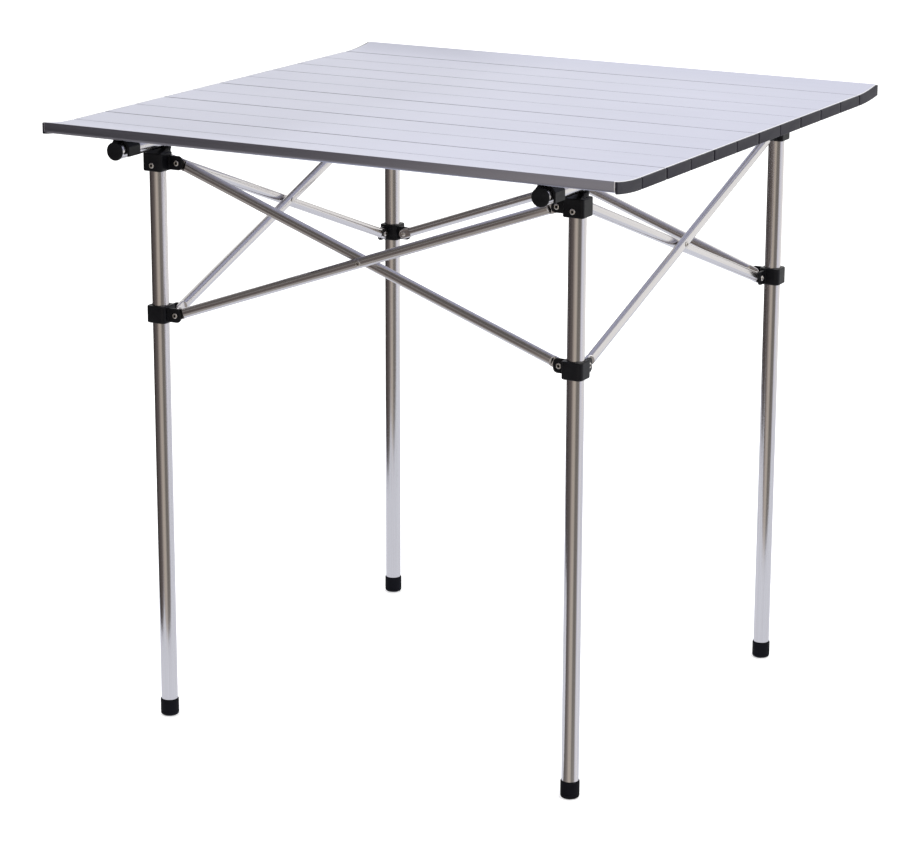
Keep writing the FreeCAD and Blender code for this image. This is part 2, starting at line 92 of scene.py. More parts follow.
# ---- legs, feet and rails --------------------------------------------------------------------
LEG_WALL = 1.1 * MM
RAIL_WALL = 1.2 * MM
TUBE_END_BEVEL = 0.25 * MM
TUBE_SEGMENTS = 96
# The foot's outline: mm above its underside or below its mouth, and mm inside its widest radius.
FOOT_LOWER = ((0.0, 3.0), (0.25, 1.9), (0.9, 0.9), (1.9, 0.25), (3.0, 0.0),
              (4.4, 0.0), (4.8, 0.35), (5.4, 0.35), (5.8, 0.0))
FOOT_UPPER = ((1.1, 0.0), (0.5, 0.15), (0.1, 0.45))
FOOT_MOUTH_BEVEL = 0.3 * MM
# The rail cap's outline: mm below its outer face, and mm inside its widest radius.
RAIL_CAP_FACE = ((1.3, 0.0), (0.75, 0.12), (0.3, 0.45), (0.06, 1.0), (0.0, 1.7))
RAIL_CAP_BACK_BEVEL = 0.2 * MM
RAIL_PLUG_LENGTH = 12.0 * MM
RAIL_PLUG_BEVEL = 0.4 * MM

# ---- braces ----------------------------------------------------------------------------------
BRACE_END_RADIUS = 6.3 * MM
BRACE_END_HALF_THICKNESS = 2.2 * MM
BRACE_END_SQUARENESS = 5.0
BRACE_HALF_HEIGHT = 5.8 * MM
BRACE_HALF_THICKNESS = 4.8 * MM
BRACE_SQUARENESS = 2.4
BRACE_LEAST_HALF_HEIGHT = 0.25 * MM
BRACE_FLAT = 8.4 * MM              # the pressed end, from the pin inward
BRACE_SWELL = 3.6 * MM             # from the pressed end to the full section
BRACE_SHARP_ANGLE = 40.0
BRACE_FAR_SHARE = 0.4              # points further out than this share of the length are at an end
OUTER_END_SHIFT = 1.0 * MM
TIP_STEP_DEGREES = 6
FLAT_STEPS, SWELL_STEPS, RUN_STEPS = 4, 14, 12
BRACE_SECTION_POINTS = 56

# ---- mouldings -------------------------------------------------------------------------------
MOULDING_VOXEL = 0.4 * MM
MOULDING_PASSES = 5
STUD_VOXEL = 0.3 * MM
STUD_PASSES = 3
SMOOTHING = 0.5
FACES_KEPT = 0.35

# ---- rivets ----------------------------------------------------------------------------------
RIVET_HEAD_RADIUS = 3.3 * MM
RIVET_HEAD_HEIGHT = 1.3 * MM
RIVET_SHANK_RADIUS = 2.0 * MM
RIVET_TAIL_RADIUS = 3.0 * MM
RIVET_TAIL_HEIGHT = 1.0 * MM
RIVET_BORE_RADIUS = 1.4 * MM
RIVET_BORE_DEPTH = 3.0 * MM
RIVET_SEGMENTS = 48
HEAD_OVER_TAIL = 0.15 * MM         # points this far outside the tail's radius are on the head
BORE_MARGIN = 0.05 * MM
# Shares of the head's height with mm outside the bore, and with mm inside the head's radius.
RIVET_MOUTH = ((0.55, 0.0), (0.86, 0.15), (0.98, 0.45), (1.0, 0.75))
RIVET_HEAD = ((0.93, 0.85), (0.72, 0.35), (0.4, 0.06), (0.15, 0.0), (0.0, 0.12))
RIVET_TAIL = ((0.0, 0.1), (0.3, 0.0), (0.7, 0.2), (1.0, 0.8))    # mm along, mm inside its radius

# ---- colours and finishes --------------------------------------------------------------------
FINE_GRAIN, LONG_GRAIN = 1300.0, 4.0
GRAIN_SHARE, CLOUD_SHARE = 0.65, 0.35
METAL_RELIEF = 0.02 * MM
PLASTIC_RELIEF = 0.03 * MM
WEAVE_RELIEF = 0.1 * MM
TUBE_DARK, TUBE_LIGHT = (0.64, 0.61, 0.60), (0.75, 0.73, 0.72)
TUBE_ROUGHNESS = (0.13, 0.20)
# near-white colour of the slats' cut ends: bare metal with a painted highlight
PAINTED_HIGHLIGHT_TONE = (0.96, 0.96, 1.0, 1.0)
SLAT_PAINTED_SIDE_SHADE = 0.58             # painted shade: the slats' front and rear faces darker, against their top

# ---- camera ----------------------------------------------------------------------------------
CAMERA_AZIMUTH = 28.64
CAMERA_ELEVATION = 15.29
CAMERA_ROLL = 0.22
CAMERA_DISTANCE = 3.6
CAMERA_AIM = Vector((-0.0095, -0.0137, 0.3275))
CAMERA_LENS = 119.96
SENSOR_WIDTH = 36.0

# ---- studio ----------------------------------------------------------------------------------
FLOOR_SIZE = 40.0
FLOOR_DROP = 0.5 * MM
FLOOR_GLOW = 0.4
# The sheet's outline: how far each corner lies towards the camera and to its right. Its front
# edge passes just behind the leg nearest to the camera.
SHEET_OUTLINE = [(0.43, -0.66), (0.40, -0.36), (0.345, 0.02), (0.345, 1.5), (-1.2, 1.5),
                 (-1.2, -0.66)]
SHEET_DROP = 0.4 * MM
SHEET_TONE = (0.80, 0.83, 0.93, 1.0)
# What gloss sees round the table, just below the horizon and above it, as (azimuth, tone):
# 0 degrees is towards the front, 90 towards +X.
WORLD_LOW = [
    (-172, (1.0, 1.0, 1.0)),
    (-135, (0.05, 0.045, 0.045)),
    (-75, (0.07, 0.06, 0.06)),
    (-25, (0.15, 0.128, 0.122)),
    (4, (0.52, 0.46, 0.41)),
    (24, (0.54, 0.49, 0.43)),
    (42, (0.19, 0.175, 0.16)),
    (74, (0.22, 0.205, 0.19)),
    (92, (0.82, 0.83, 0.95)),
    (150, (1.0, 1.0, 1.0)),
]
WORLD_HIGH = [
    (-140, (1.0, 1.0, 1.0)),
    (-105, (0.14, 0.13, 0.13)),
    (-4, (0.13, 0.12, 0.115)),
    (24, (0.58, 0.57, 0.58)),
    (60, (0.66, 0.65, 0.67)),
    (105, (1.0, 1.0, 1.0)),
]
WHITE = (1.0, 1.0, 1.0, 1.0)
GROUND = (0.40, 0.375, 0.36, 1.0)
# Where the bands meet: 0 is straight down, 0.5 the horizon, 1 straight up.
GROUND_TO_LOW = (0.22, 0.32)
LOW_TO_HIGH = (0.47, 0.53)
HIGH_TO_TOP = (0.93, 0.99)

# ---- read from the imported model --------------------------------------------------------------
nodes = frame["nodes"]
node_body = {n: b for b, ns in frame["record"]["behaviour"]["bodies"].items() for n in ns}
table_top_height = [m for m in frame["record"]["mounts"] if m["name"] == "table_top"][0]["pos_m"][Z]
hinge_y = {j["child"]: j["pos_m"][Y] for j in frame["joints"] if j["type"] == "hinge"}
slat_names = sorted(n for n in nodes if n.startswith("slat_"))
flat_slats = slat_names[1:-1]
cap_depth = table_top_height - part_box("slat_05")[0].z + CAP_INSET


def flat_slat_span(node):
    """Front and rear Y of a flat slat, read from the points of its top face."""
    floor = table_top_height - TOP_FACE_MARGIN
    ys = [v.co.y for v in nodes[node].data.vertices if v.co.z > floor]
    return min(ys) - SLAT_CORNER, max(ys) + SLAT_CORNER


flat_spans = {n: flat_slat_span(n) for n in flat_slats}
slat_width = sum(rear - front for front, rear in flat_spans.values()) / len(flat_spans)


# ---- mesh helpers ----------------------------------------------------------------------------
def mesh_object(name, points, faces, sharp_angle=SHARP_ANGLE):
    """A smooth-shaded mesh with its normals outward."""
    mesh = bpy.data.meshes.new(name)
    mesh.from_pydata([tuple(p) for p in points], [], faces)
    mesh.validate()
    tidy = bmesh.new()
    tidy.from_mesh(mesh)
    bmesh.ops.recalc_face_normals(tidy, faces=tidy.faces)
    tidy.to_mesh(mesh)
    tidy.free()
    mesh.shade_smooth()
    mesh.set_sharp_from_angle(angle=math.radians(sharp_angle))
    piece = bpy.data.objects.new(name, mesh)
    bpy.context.scene.collection.objects.link(piece)
    return piece


def ring_faces(ring_count, size, closed):
    """Quads between each ring of points and the next, and from last to first if closed."""
    faces = []
    last = ring_count if closed else ring_count - 1
    for ring in range(last):
        here, there = ring * size, (ring + 1) % ring_count * size
        for i in range(size):
            j = (i + 1) % size
            faces.append((here + i, here + j, there + j, there + i))
    return faces


def ring_stack(name, rings, closed=False, sharp_angle=SHARP_ANGLE):
    """A skin over rings of points, with flat lids on the first and last unless closed."""
    size = len(rings[0])
    points = [p for ring in rings for p in ring]
    faces = ring_faces(len(rings), size, closed)
    if not closed:
        faces.append(tuple(range(size)))
        faces.append(tuple(range(len(points) - size, len(points))))
    return mesh_object(name, points, faces, sharp_angle)


def square_axes(axis):
    """Two unit vectors square to the axis and to each other."""
    helper = Vector((0, 0, 1)) if abs(axis.z) < 0.9 else Vector((1, 0, 0))
    across = axis.cross(helper).normalized()
    return across, axis.cross(across)


def lathe(name, base, axis, profile, segments, closed=False):
    """A turned piece. The profile is (distance along the axis, radius)."""
    axis = Vector(axis).normalized()
    across, upright = square_axes(axis)
    rings = []
    for along, radius in profile:
        ring = []
        for i in range(segments):
            turn = 2 * math.pi * i / segments
            out = across * math.cos(turn) + upright * math.sin(turn)
            ring.append(Vector(base) + axis * along + out * max(radius, LEAST_RADIUS))
        rings.append(ring)
    return ring_stack(name, rings, closed)


def rounded_corners(points, radii, steps):
    """The closed outline with each corner turned into an arc of its own radius."""
    result = []
    count = len(points)
    for i, corner in enumerate(points):
        before = (points[i - 1] - corner).normalized()
        after = (points[(i + 1) % count] - corner).normalized()
        half_turn = before.angle(after) / 2
        reach = radii[i] / math.tan(half_turn)
        centre = corner + (before + after).normalized() * (radii[i] / math.sin(half_turn))
        start, end = corner + before * reach - centre, corner + after * reach - centre
        sweep = start.angle_signed(end)
        for step in range(steps + 1):
            turn = Matrix.Rotation(-sweep * step / steps, 2)
            result.append(centre + turn @ start)
    return result


def tube(name, low, high, outer, inner, axis):
    """An open tube with slightly broken edges, along an axis between two points."""
    length = (Vector(high) - Vector(low)).length
    bevel = TUBE_END_BEVEL
    profile = [(0, outer - bevel), (bevel, outer)]
    profile += [(length * share, outer) for share in (0.25, 0.5, 0.75)]
    profile += [(length - bevel, outer), (length, outer - bevel)]
    profile += [(length, inner + bevel), (length - bevel, inner)]
    profile += [(bevel, inner), (0, inner + bevel)]
    return lathe(name, low, axis, profile, closed=True, segments=TUBE_SEGMENTS)


def finish_piece(piece, node, material):
    """Puts the piece on the node's body, in place of the node."""
    piece.data.materials.clear()
    piece.data.materials.append(material)
    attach(piece, node_body[node])
    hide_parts(node)


# ---- material helpers ------------------------------------------------------------------------
def new_material(name):
    material = bpy.data.materials.new(name)
    material.use_nodes = True
    tree = material.node_tree
    shader = tree.nodes["Principled BSDF"]
    return material, tree, shader


def split_coordinates(tree, kind):
    """The X, Y and Z of one of the texture coordinates."""
    place = tree.nodes.new("ShaderNodeTexCoord")
    split = tree.nodes.new("ShaderNodeSeparateXYZ")
    tree.links.new(place.outputs[kind], split.inputs[0])
    return split.outputs


def noise(tree, stretch, scale, detail, roughness, turn=(0, 0, 0)):
    """Noise over the object's own coordinates, turned and then stretched along each axis."""
    place = tree.nodes.new("ShaderNodeTexCoord")
    turning = tree.nodes.new("ShaderNodeMapping")
    turning.inputs["Rotation"].default_value = turn
    mapping = tree.nodes.new("ShaderNodeMapping")
    mapping.inputs["Scale"].default_value = stretch
    texture = tree.nodes.new("ShaderNodeTexNoise")
    texture.inputs["Scale"].default_value = scale
    texture.inputs["Detail"].default_value = detail
    texture.inputs["Roughness"].default_value = roughness
    tree.links.new(place.outputs["Object"], turning.inputs["Vector"])
    tree.links.new(turning.outputs["Vector"], mapping.inputs["Vector"])
    tree.links.new(mapping.outputs["Vector"], texture.inputs["Vector"])
    return texture.outputs["Fac"]


def ramp(tree, value, stops):
    """A colour ramp over the value; stops are (position, colour or grey)."""
    node = tree.nodes.new("ShaderNodeValToRGB")
    elements = node.color_ramp.elements
    while len(elements) < len(stops):
        elements.new(0.5)
    for element, (position, tone) in zip(elements, stops):
        element.position = position
        rgb = tone if hasattr(tone, "__len__") else (tone, tone, tone)
        element.color = (*rgb, 1.0)
    tree.links.new(value, node.inputs["Fac"])
    return node.outputs["Color"]


def math_node(tree, operation, first, second=None):
    node = tree.nodes.new("ShaderNodeMath")
    node.operation = operation
    for socket, value in zip(node.inputs, (first, second)):
        if value is None:
            continue
        if isinstance(value, (int, float)):
            socket.default_value = value
        else:
            tree.links.new(value, socket)
    return node.outputs[0]


def bump(tree, shader, height, strength, distance):
    node = tree.nodes.new("ShaderNodeBump")
    node.inputs["Strength"].default_value = strength
    node.inputs["Distance"].default_value = distance
    tree.links.new(height, node.inputs["Height"])
    tree.links.new(node.outputs["Normal"], shader.inputs["Normal"])


def mixed_colour(tree, blend, share, first, second):
    """Two colours, each a value or an output, mixed by a share."""
    node = tree.nodes.new("ShaderNodeMix")
    node.data_type = "RGBA"
    node.blend_type = blend
    colours = [s for s in node.inputs if s.type == "RGBA"]
    for socket, value in zip([node.inputs[0]] + colours, (share, first, second)):
        if hasattr(value, "is_output"):
            tree.links.new(value, socket)
        else:
            socket.default_value = value
    return [s for s in node.outputs if s.type == "RGBA"][0]


def grain_along(axis):
    """The stretch that draws noise out into lines along an axis."""
    stretch = [FINE_GRAIN] * 3
    stretch[axis] = LONG_GRAIN
    return stretch


def drawn_metal(name, tones, stretch, rough, grain_bump, turn=(0, 0, 0)):
    """Metal with a fine grain along its length, soft cloudiness and small changes of gloss."""
    material, tree, shader = new_material(name)
    grain = noise(tree, stretch, scale=1.0, detail=5.0, roughness=0.62, turn=turn)
    cloud = noise(tree, (1.5, 1.5, 1.5), scale=3.0, detail=3.0, roughness=0.5)
    grain_part = math_node(tree, "MULTIPLY", grain, GRAIN_SHARE)
    cloud_part = math_node(tree, "MULTIPLY", cloud, CLOUD_SHARE)
    mixed = math_node(tree, "ADD", grain_part, cloud_part)
    colour = ramp(tree, mixed, [(0.3, tones[0]), (0.7, tones[1])])
    roughness = ramp(tree, grain, [(0.25, rough[0]), (0.75, rough[1])])
    tree.links.new(colour, shader.inputs["Base Color"])
    tree.links.new(roughness, shader.inputs["Roughness"])
    shader.inputs["Metallic"].default_value = 1.0
    bump(tree, shader, grain, grain_bump, METAL_RELIEF)
    return material


def base_colour(material):
    """The material's nodes, the socket of its base colour, and what feeds it."""
    tree = material.node_tree
    socket = tree.nodes["Principled BSDF"].inputs["Base Color"]
    return tree, socket, socket.links[0].from_socket


def paint_side_shade(material, shade):
    """Painted shade: darker metal on the faces that look to the front and the rear."""
    tree, socket, colour = base_colour(material)
    facing = math_node(tree, "ABSOLUTE", split_coordinates(tree, "Normal")["Y"])
    shading = ramp(tree, facing, [(0.35, 1.0), (0.75, shade)])
    tree.links.new(mixed_colour(tree, "MULTIPLY", 1.0, colour, shading), socket)


def paint_end_highlight(material, reach, tone):
    """Bare metal beyond a distance from the middle along X, painted near white as a highlight along the cut end.
    """
    tree, socket, colour = base_colour(material)
    distance = math_node(tree, "ABSOLUTE", split_coordinates(tree, "Object")["X"])
    beyond = math_node(tree, "GREATER_THAN", distance, reach)
    tree.links.new(mixed_colour(tree, "MIX", beyond, colour, tone), socket)


def moulded_plastic(name, tones, rough, specular, texture_scale=1400.0, strength=0.25):
    """Satin moulded plastic: a fine spark-eroded texture and faint flow marks."""
    material, tree, shader = new_material(name)
    texture = noise(tree, (1, 1, 1), scale=texture_scale, detail=3.0, roughness=0.5)
    flow = noise(tree, (1, 1, 2), scale=60.0, detail=4.0, roughness=0.55)
    colour = ramp(tree, flow, [(0.3, tones[0]), (0.75, tones[1])])
    roughness = ramp(tree, flow, [(0.3, rough[0]), (0.7, rough[1])])
    tree.links.new(colour, shader.inputs["Base Color"])
    tree.links.new(roughness, shader.inputs["Roughness"])
    shader.inputs["Specular IOR Level"].default_value = specular
    bump(tree, shader, texture, strength, PLASTIC_RELIEF)
    return material


def braided_cord(name):
    """Elastic cord in a woven cover, dark with lighter flecks."""
    material, tree, shader = new_material(name)
    place = tree.nodes.new("ShaderNodeTexCoord")
    weave = tree.nodes.new("ShaderNodeTexWave")
    weave.bands_direction = "DIAGONAL"
    weave.inputs["Scale"].default_value = 500.0
    weave.inputs["Distortion"].default_value = 1.5
    tree.links.new(place.outputs["Object"], weave.inputs["Vector"])
    colour = ramp(tree, weave.outputs["Fac"], [(0.2, 0.02), (0.8, 0.22)])
    tree.links.new(colour, shader.inputs["Base Color"])
    shader.inputs["Roughness"].default_value = 0.85
    bump(tree, shader, weave.outputs["Fac"], 0.6, WEAVE_RELIEF)
    return material


# ---- materials -------------------------------------------------------------------------------
slat_metal = drawn_metal("slat_anodised", ((0.61, 0.62, 0.735), (0.71, 0.72, 0.845)),
                         (3, 900, 900), (0.30, 0.44), 0.35)
# painted shade on the slats' front and rear faces
paint_side_shade(slat_metal, SLAT_PAINTED_SIDE_SHADE)
# bare cut ends of the slats, painted near white as a highlight
paint_end_highlight(slat_metal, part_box("slat_05")[1].x - CAP_FLANGE - PAINTED_HIGHLIGHT_END, PAINTED_HIGHLIGHT_TONE)
tube_tones = (TUBE_DARK, TUBE_LIGHT)
leg_metal = drawn_metal("leg_drawn", tube_tones, grain_along(Z), TUBE_ROUGHNESS, 0.08)
rail_metal = drawn_metal("rail_drawn", tube_tones, grain_along(Y), TUBE_ROUGHNESS, 0.08)
rivet_metal = drawn_metal("rivet_nickel", ((0.58, 0.54, 0.49), (0.80, 0.77, 0.72)),
                          (700, 700, 700), (0.18, 0.34), 0.2)
block_plastic = moulded_plastic("block_nylon", ((0.0035, 0.0035, 0.0045), (0.0065, 0.0065, 0.0080)),
                                (0.30, 0.42), 0.16)
cap_plastic = moulded_plastic("cap_nylon", ((0.009, 0.008, 0.014), (0.020, 0.018, 0.028)),
                              (0.42, 0.55), 0.25)
foot_rubber = moulded_plastic("foot_rubber", ((0.0020, 0.0020, 0.0040), (0.0050, 0.0050, 0.0090)),
                              (0.55, 0.70), 0.10, texture_scale=900.0, strength=0.4)
# near-black colour for the inside of the rivets' bores: painted shade in the hollow
bore_shadow = moulded_plastic("rivet_bore_painted_shade", ((0.004, 0.004, 0.004), (0.010, 0.009, 0.008)),
                              (0.6, 0.8), 0.1)
cord_elastic = braided_cord("cord_elastic")


# ---- slats, end caps and cords ---------------------------------------------------------------
def bend(radius, across):
    """How far an arc of this radius has risen at a distance from where it starts."""
    return radius - math.sqrt(radius ** 2 - across ** 2)


def curled(across, down):
    """Height of an edge slat's section above the flat top, at a distance from its joint."""
    rise = bend(EDGE_BEND_RADIUS, slat_width) - (EDGE_THICKNESS - SLAT_THICKNESS)
    under_radius = (slat_width ** 2 + rise ** 2) / (2 * rise)
    top = bend(EDGE_BEND_RADIUS, across)
    underside = bend(under_radius, across)
    return top + (underside - top) * down / SLAT_THICKNESS - down


def slat_outline(front, curl, inset, depth, corner, lip):
    """The slat's section as (y, z) points, drawn in by inset; curl is -1, 0 or 1."""
    low, high = inset, slat_width - inset
    corners = [Vector((low, inset)), Vector((high, inset)),
               Vector((high, depth - inset)), Vector((low, depth - inset))]
    radii = [corner, corner, lip if curl > 0 else corner, lip if curl < 0 else corner]
    radii = [max(radius - inset, LEAST_CORNER) for radius in radii]
    rough = rounded_corners(corners, radii, CORNER_STEPS)
    outline = []
    for i, point in enumerate(rough):
        following = rough[(i + 1) % len(rough)]
        outline.append(point)
        if (following - point).length > slat_width / 2:
            outline += [point.lerp(following, k / LONG_SIDE_DIVISIONS)
                        for k in range(1, LONG_SIDE_DIVISIONS)]
    result = []
    for across, down in outline:
        height = -down
        if curl:
            height = curled(slat_width - across if curl < 0 else across, down)
        result.append((front + across, table_top_height + height))
    return result


def outline_rings(stations, section):
    """Rings of the section at each (x, inset) station."""
    return [[Vector((x, y, z)) for y, z in section(inset)] for x, inset in stations]


def slat_shell(name, front, curl, half):
    """The hollow metal slat."""
    def section(inset):
        return slat_outline(front, curl, inset, SLAT_THICKNESS, SLAT_CORNER, EDGE_LIP_CORNER)
    bevel = SLAT_END_BEVEL
    stations = [(-half, bevel), (-half + bevel, 0), (0, 0), (half - bevel, 0), (half, bevel)]
    outside = outline_rings(stations, section)
    inside = outline_rings([(half, SLAT_WALL), (-half, SLAT_WALL)], section)
    return ring_stack(name, outside + inside, closed=True, sharp_angle=SLAT_SHARP_ANGLE)


def slat_cap(name, front, curl, half, side):
    """An end cap: a plug inside the slat and a flange over its end."""
    def plug(inset):
        return slat_outline(front, curl, inset, SLAT_THICKNESS, SLAT_CORNER, EDGE_LIP_CORNER)

    def flange(inset):
        return slat_outline(front, curl, CAP_INSET + inset, cap_depth, CAP_CORNER, CAP_CORNER)
    plug_inset = SLAT_WALL + CAP_PLUG_CLEARANCE
    plug_end = half - CAP_PLUG
    plug_stations = [(side * plug_end, plug_inset + CAP_PLUG_BEVEL),
                     (side * (plug_end + CAP_PLUG_BEVEL), plug_inset), (side * half, plug_inset)]
    seat_rise, seat_inset = CAP_SEAT_BEVEL
    flange_stations = [(side * half, seat_inset), (side * (half + seat_rise), 0.0)]
    for step in range(CAP_RIM_STEPS + 1):
        turn = math.radians(90 * step / CAP_RIM_STEPS)
        x = half + CAP_FLANGE - CAP_RIM + CAP_RIM * math.sin(turn)
        flange_stations.append((side * x, CAP_RIM * (1 - math.cos(turn))))
    rings = outline_rings(plug_stations, plug) + outline_rings(flange_stations, flange)
    return ring_stack(name, rings, sharp_angle=SLAT_SHARP_ANGLE)


def slat_cord(name, front, curl, side, gap_front, gap_rear):
    """The slat's own length of elastic cord, with its knot in an edge slat."""
    start, end = front - gap_front / 2, front + slat_width + gap_rear / 2
    profile = [(0, CORD_RADIUS), (end - start, CORD_RADIUS)]
    if curl < 0:
        start = end - CORD_END_LENGTH
        profile = [*CORD_KNOT, (CORD_END_LENGTH, CORD_RADIUS)]
    if curl > 0:
        profile = [(0, CORD_RADIUS)]
        profile += [(CORD_END_LENGTH - along, radius) for along, radius in reversed(CORD_KNOT)]
    base = Vector((side * CORD_OFFSET, start, table_top_height - SLAT_THICKNESS / 2))
    return lathe(name, base, (0, 1, 0), profile, segments=CORD_SEGMENTS)


def joint_gap(index):
    """The gap between a slat and the next one to the rear; none outside the top."""
    if index < 0 or index >= len(slat_names) - 1:
        return 0.0
    joint = hinge_y[slat_names[index]]
    if slat_names[index] in flat_spans:
        return 2 * (joint - flat_spans[slat_names[index]][1])
    return 2 * (flat_spans[slat_names[index + 1]][0] - joint)


def make_slats():
    for index, node in enumerate(slat_names):
        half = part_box(node)[1].x - CAP_FLANGE
        curl = -1 if index == 0 else (1 if index == len(slat_names) - 1 else 0)
        gap_front, gap_rear = joint_gap(index - 1), joint_gap(index)
        if curl < 0:
            front = hinge_y[node] - gap_rear / 2 - slat_width
        else:
            front = hinge_y[slat_names[index - 1]] + gap_front / 2
        shell = slat_shell(node + "_extrusion", front, curl, half)
        finish_piece(shell, node, slat_metal)
        for side, word in ((-1, "left"), (1, "right")):
            cap = slat_cap("%s_cap_%s" % (node, word), front, curl, half, side)
            finish_piece(cap, node, cap_plastic)
            cord = slat_cord("%s_cord_%s" % (node, word), front, curl, side, gap_front, gap_rear)
            finish_piece(cord, node, cord_elastic)


# ---- legs, feet and rails --------------------------------------------------------------------
def make_legs():
    for node in [n for n in nodes if n.startswith("leg_")]:
        low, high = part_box(node)
        centre, radius = (low + high) / 2, (high.x - low.x) / 2
        piece = tube(node + "_tube", (centre.x, centre.y, low.z), (centre.x, centre.y, high.z),
                     radius, radius - LEG_WALL, (0, 0, 1))
        finish_piece(piece, node, leg_metal)


def make_feet():
    for node in [n for n in nodes if n.startswith("foot_")]:
        low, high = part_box(node)
        centre, radius, height = (low + high) / 2, (high.x - low.x) / 2, high.z - low.z
        leg_low, leg_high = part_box(node.replace("foot_", "leg_"))
        bore = (leg_high.x - leg_low.x) / 2
        sole = leg_low.z
        profile = [(0, 0)]
        profile += [(up * MM, radius - inset * MM) for up, inset in FOOT_LOWER]
        profile += [(height - down * MM, radius - inset * MM) for down, inset in FOOT_UPPER]
        profile += [(height, bore + FOOT_MOUTH_BEVEL), (height - FOOT_MOUTH_BEVEL, bore)]
        profile += [(sole, bore), (sole, 0)]
        piece = lathe(node + "_rubber", (centre.x, centre.y, low.z), (0, 0, 1), profile,
                      segments=TUBE_SEGMENTS)
        finish_piece(piece, node, foot_rubber)


def rail_cap_profile(thick, radius, plug):
    """A rail cap with its plug; 0 is the rail's end, thick is how far the cap stands out."""
    profile = [(-RAIL_PLUG_LENGTH, 0), (-RAIL_PLUG_LENGTH, plug - RAIL_PLUG_BEVEL)]
    profile += [(-RAIL_PLUG_LENGTH + RAIL_PLUG_BEVEL, plug), (0, plug)]
    profile += [(0, radius - RAIL_CAP_BACK_BEVEL), (RAIL_CAP_BACK_BEVEL, radius)]
    profile += [(thick - down * MM, radius - inset * MM) for down, inset in RAIL_CAP_FACE]
    return profile + [(thick, 0)]


def make_rails():
    for node in ("rail_left", "rail_right"):
        low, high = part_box(node)
        centre, radius = (low + high) / 2, (high.x - low.x) / 2
        piece = tube(node + "_tube", (centre.x, low.y, centre.z), (centre.x, high.y, centre.z),
                     radius, radius - RAIL_WALL, (0, 1, 0))
        finish_piece(piece, node, rail_metal)
    cap_low, cap_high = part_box("rail_caps")
    cap_radius = (cap_high.z - cap_low.z) / 2
    for node in ("rail_left", "rail_right"):
        low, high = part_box(node)
        centre, radius = (low + high) / 2, (high.x - low.x) / 2
        ends = ((-1, low.y, cap_low.y, "front"), (1, high.y, cap_high.y, "rear"))
        for end, face, reach, word in ends:
            profile = rail_cap_profile(abs(reach - face), cap_radius, radius - RAIL_WALL)
            piece = lathe("%s_cap_%s" % (node, word), (centre.x, face, centre.z), (0, end, 0),
                          profile, segments=TUBE_SEGMENTS)
            finish_piece(piece, "rail_caps", block_plastic)


# ---- braces ----------------------------------------------------------------------------------
def brace_section(half_height, half_thickness, power):
    """An oval across the brace: power 2 is an ellipse, more is squarer."""
    points = []
    for i in range(BRACE_SECTION_POINTS):
        turn = 2 * math.pi * i / BRACE_SECTION_POINTS
        c, s = math.cos(turn), math.sin(turn)
        points.append((math.copysign(abs(c) ** (2 / power), c) * half_thickness,
                       math.copysign(abs(s) ** (2 / power), s) * half_height))
    return points


def ease(value):
    value = min(max(value, 0.0), 1.0)
    return value * value * (3 - 2 * value)


def between(first, second, share):
    return first + (second - first) * share


def brace_shape(inward):
    """Half height, half thickness, squareness and end shift at a distance inward of the pin."""
    swell = ease((inward - BRACE_FLAT) / BRACE_SWELL)
    thickness = between(BRACE_END_HALF_THICKNESS, BRACE_HALF_THICKNESS, swell)
    squareness = between(BRACE_END_SQUARENESS, BRACE_SQUARENESS, swell)
    height = between(BRACE_END_RADIUS, BRACE_HALF_HEIGHT, swell)
    if inward < 0:
        height = math.sqrt(max(BRACE_END_RADIUS ** 2 - inward ** 2, 0))
    return max(height, BRACE_LEAST_HALF_HEIGHT), thickness, squareness, 1 - swell


def brace_stations(length):
    """Distances inward of the first pin where the brace is drawn."""
    start = [-BRACE_END_RADIUS * math.cos(math.radians(a)) for a in range(0, 90, TIP_STEP_DEGREES)]
    start += [BRACE_FLAT * k / FLAT_STEPS for k in range(FLAT_STEPS + 1)]
    start += [BRACE_FLAT + BRACE_SWELL * k / SWELL_STEPS for k in range(1, SWELL_STEPS + 1)]
    run = length - 2 * start[-1]
    middle = [start[-1] + run * k / RUN_STEPS for k in range(1, RUN_STEPS)]
    return start + middle + [length - s for s in reversed(start)]


def brace_falls(node, long):
    """Whether the brace's far end along +X or +Y is the lower one."""
    low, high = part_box(node)
    limit = (low[long] + high[long]) / 2 + BRACE_FAR_SHARE * (high[long] - low[long])
    far = [v.co.z for v in nodes[node].data.vertices if v.co[long] > limit]
    return sum(far) / len(far) < (low.z + high.z) / 2


def brace_pins(node, low, high, long):
    """The middles of the brace's two pressed ends, in the direction of its long axis."""
    start, end = (low + high) / 2, (low + high) / 2
    start[long], end[long] = low[long] + BRACE_END_RADIUS, high[long] - BRACE_END_RADIUS
    lower, upper = low.z + BRACE_END_RADIUS, high.z - BRACE_END_RADIUS
    start.z, end.z = (upper, lower) if brace_falls(node, long) else (lower, upper)
    return start, end


def make_brace(node):
    low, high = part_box(node)
    long, thin = (Y, X) if high.x - low.x < high.y - low.y else (X, Y)
    start, end = brace_pins(node, low, high, long)
    along = (end - start).normalized()
    outward = Vector((0, 0, 0))
    outward[thin] = math.copysign(1, start[thin])
    upright = along.cross(outward)
    length = (end - start).length
    shift = OUTER_END_SHIFT if node.endswith("outer") else 0.0
    rings = []
    for station in brace_stations(length):
        inward = station if station < length / 2 else length - station
        height, thickness, squareness, at_end = brace_shape(inward)
        middle = start + along * station - outward * shift * at_end
        section = brace_section(height, thickness, squareness)
        rings.append([middle + outward * a + upright * b for a, b in section])
    piece = ring_stack(node + "_tube", rings, sharp_angle=BRACE_SHARP_ANGLE)
    lean = math.atan2(along.z, along[long])
    turn = (0, lean, 0) if long == X else (-lean, 0, 0)
    material = drawn_metal(node + "_drawn", tube_tones, grain_along(long), TUBE_ROUGHNESS, 0.06,
                           turn)
    finish_piece(piece, node, material)


